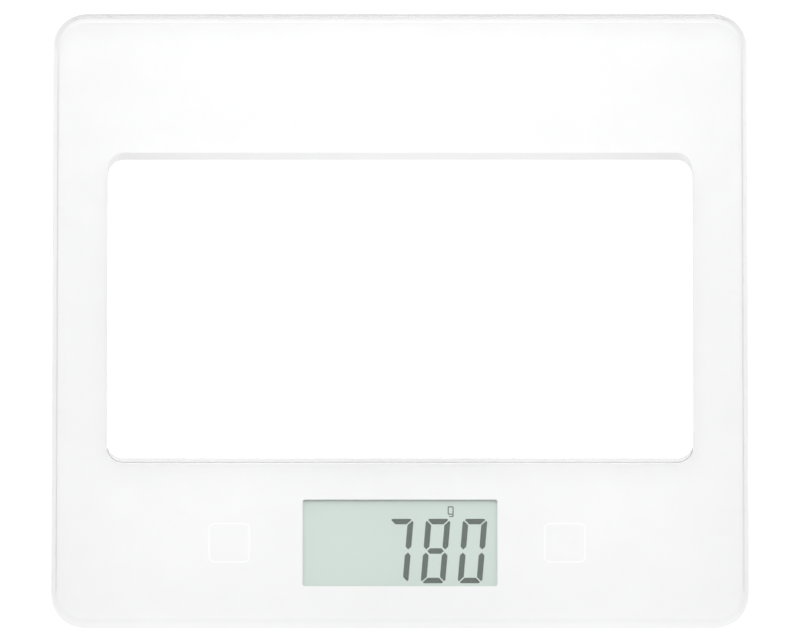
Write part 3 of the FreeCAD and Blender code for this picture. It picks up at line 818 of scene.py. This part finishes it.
def rating_label():
    """Blank rating label with a printed border line."""
    centre = Vector((0.0, (PRINT_LOW.y + OPENING_LOW.y) / 2))
    low, high = centre - LABEL_HALF, centre + LABEL_HALF
    bm = bmesh.new()
    prism(bm, rounded_outline(low, high, LABEL_CORNER), COVER_LOW.z - LABEL_FILM,
          COVER_LOW.z + RELIEF)
    add_mesh("rating_label", bm, label_material(), SCALE_BODY, smooth=False)
    border = []
    for inset in BORDER_INSETS:
        border.append(rounded_outline(*grown(low, high, -inset), BORDER_CORNER))
    bm = bmesh.new()
    ribbon(bm, border[0], border[1], COVER_LOW.z - 0.1 * MM, COVER_LOW.z)
    add_mesh("label_border", bm, segment_material(), SCALE_BODY, smooth=False)


def underside_details(materials):
    """Everything moulded into or stuck on the underside."""
    door_marks(materials)
    date_clock(Vector((36.0 * MM, DOOR_CENTRE.y)), materials["housing_plastic"])
    ejector_marks(materials["housing_plastic"])
    rating_label()


# ---- stage ---------------------------------------------------------------------------------------
FLOOR_HALF = 1.5
ZENITH_STRENGTH = 0.7
HORIZON_STRENGTH = 0.68
FLOOR_DROP = 0.02 * MM          # keeps the floor just below the foot pads
FLOOR_WHITE = 0.82
FLOOR_GLOW = 0.14
BACKDROP_GLOW = 0.5            # more glow that only the camera sees, for a clean white ground
TOP_POWER = 2.0
REAR_POWER = 1.5
STRIP_POWER = 0.52


def floor():
    """Plain white ground, clear from underneath so that the scale's underside can be seen."""
    material = new_material("floor_white", (FLOOR_WHITE, FLOOR_WHITE, FLOOR_WHITE), 0.9)
    shader_of(material).inputs["Emission Color"].default_value = (1.0, 1.0, 1.0, 1.0)
    path = add_node(material, "ShaderNodeLightPath")
    glow = add_node(material, "ShaderNodeMapRange", To_Min=FLOOR_GLOW,
                    To_Max=FLOOR_GLOW + BACKDROP_GLOW)
    link(material, path.outputs["Is Camera Ray"], glow.inputs["Value"])
    link(material, glow.outputs["Result"], shader_of(material).inputs["Emission Strength"])
    side = add_node(material, "ShaderNodeNewGeometry")
    clear_where(material, side.outputs["Backfacing"])
    bm = bmesh.new()
    bmesh.ops.create_grid(bm, x_segments=1, y_segments=1, size=FLOOR_HALF)
    mesh = bpy.data.meshes.new("floor")
    bm.to_mesh(mesh)
    bm.free()
    mesh.materials.append(material)
    plane = bpy.data.objects.new("floor", mesh)
    plane.location.z = -FLOOR_DROP
    bpy.context.scene.collection.objects.link(plane)


def softbox(name, place, width, depth, power, mirrored):
    """Area light that faces the scale; mirrored says whether the glass reflects it."""
    lamp = bpy.data.lights.new(name, "AREA")
    lamp.shape = "RECTANGLE"
    lamp.size = width
    lamp.size_y = depth
    lamp.energy = power
    box = bpy.data.objects.new(name, lamp)
    box.location = place
    box.rotation_euler = (-Vector(place)).to_track_quat("-Z", "Y").to_euler()
    box.visible_glossy = mirrored
    box.visible_transmission = mirrored
    bpy.context.scene.collection.objects.link(box)


def studio():
    """White room with softboxes overhead and behind, and a low strip along the middle."""
    world = bpy.data.worlds.new("studio")
    world.use_nodes = True
    tree = world.node_tree
    ray = tree.nodes.new("ShaderNodeTexCoord")
    height = tree.nodes.new("ShaderNodeSeparateXYZ")
    strength = tree.nodes.new("ShaderNodeMapRange")
    strength.inputs["To Min"].default_value = HORIZON_STRENGTH
    strength.inputs["To Max"].default_value = ZENITH_STRENGTH
    background = tree.nodes["Background"]
    background.inputs["Color"].default_value = (1.0, 1.0, 1.0, 1.0)
    tree.links.new(ray.outputs["Generated"], height.inputs["Vector"])
    tree.links.new(height.outputs["Z"], strength.inputs["Value"])
    tree.links.new(strength.outputs["Result"], background.inputs["Strength"])
    bpy.context.scene.world = world
    bpy.context.scene.view_settings.view_transform = "Standard"
    softbox("top_softbox", (0.0, 0.0, 1.4), 1.2, 1.2, TOP_POWER, True)
    softbox("rear_softbox", (0.0, 0.9, 0.6), 0.5, 0.5, REAR_POWER, True)
    softbox("middle_strip", (0.0, 0.03, 0.34), 0.12, 0.4, STRIP_POWER, False)


def camera():
    """Long lens from the front, high over the table."""
    lens = bpy.data.cameras.new("camera")
    lens.lens = CAMERA_LENS
    lens.clip_start = 0.1
    lens.clip_end = 50.0
    eye = bpy.data.objects.new("camera", lens)
    elevation = math.radians(CAMERA_ELEVATION)
    aim = Vector((0.0, 0.0, AIM_HEIGHT))
    eye.location = aim + Vector((0.0, -math.cos(elevation), math.sin(elevation))) * CAMERA_DISTANCE
    eye.rotation_euler = (aim - eye.location).to_track_quat("-Z", "Y").to_euler()
    bpy.context.scene.collection.objects.link(eye)
    bpy.context.scene.camera = eye


MATERIALS = slot_materials()
dress_nodes(MATERIALS)
glass_plate(MATERIALS["clear_glass"])
opening_wall(ground_material())
touch_keys()
display_reading()
underside_details(MATERIALS)
floor()
studio()
camera()
